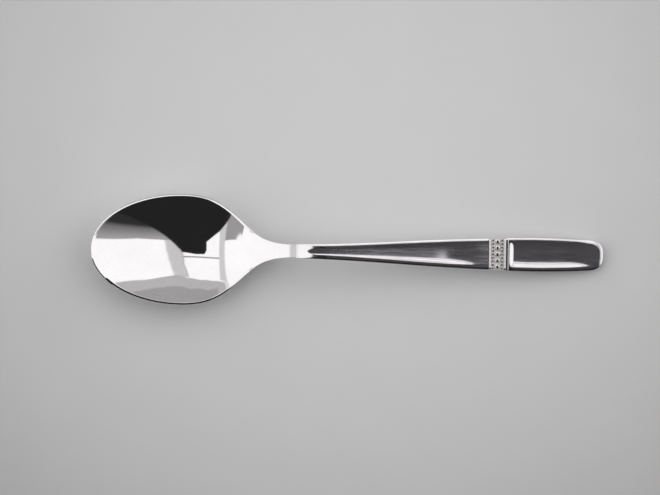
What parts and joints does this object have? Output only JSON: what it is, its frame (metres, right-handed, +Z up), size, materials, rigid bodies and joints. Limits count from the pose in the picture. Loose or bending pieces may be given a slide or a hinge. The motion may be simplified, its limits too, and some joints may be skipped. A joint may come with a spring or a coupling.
{
  "type": "coffee spoon",
  "caption": "Small coffee spoon with a polished oval bowl, narrow neck, arched handle with sunk brushed panels and a raised beaded cross band.",
  "frame": {"origin": "middle of the overall box, on the plane that the spoon rests on", "axes": "+X along the spoon from the bowl's tip to the handle's end, +Y across it, +Z up out of the bowl"},
  "size_m": [0.138, 0.03, 0.0113],
  "materials": {
    "polished_steel": "mirror polished stainless steel",
    "brushed_steel": "stainless steel, panels brushed lengthwise and rims polished",
    "ornament_steel": "struck and polished stainless steel, darker in the recesses"
  },
  "bodies": {
    "root": {"bowl": "polished_steel", "neck": "polished_steel", "handle": "brushed_steel", "bead_band": "ornament_steel", "large_beads": "ornament_steel", "small_beads_front": "ornament_steel", "small_beads_rear": "ornament_steel"}
  },
  "joints": []
}
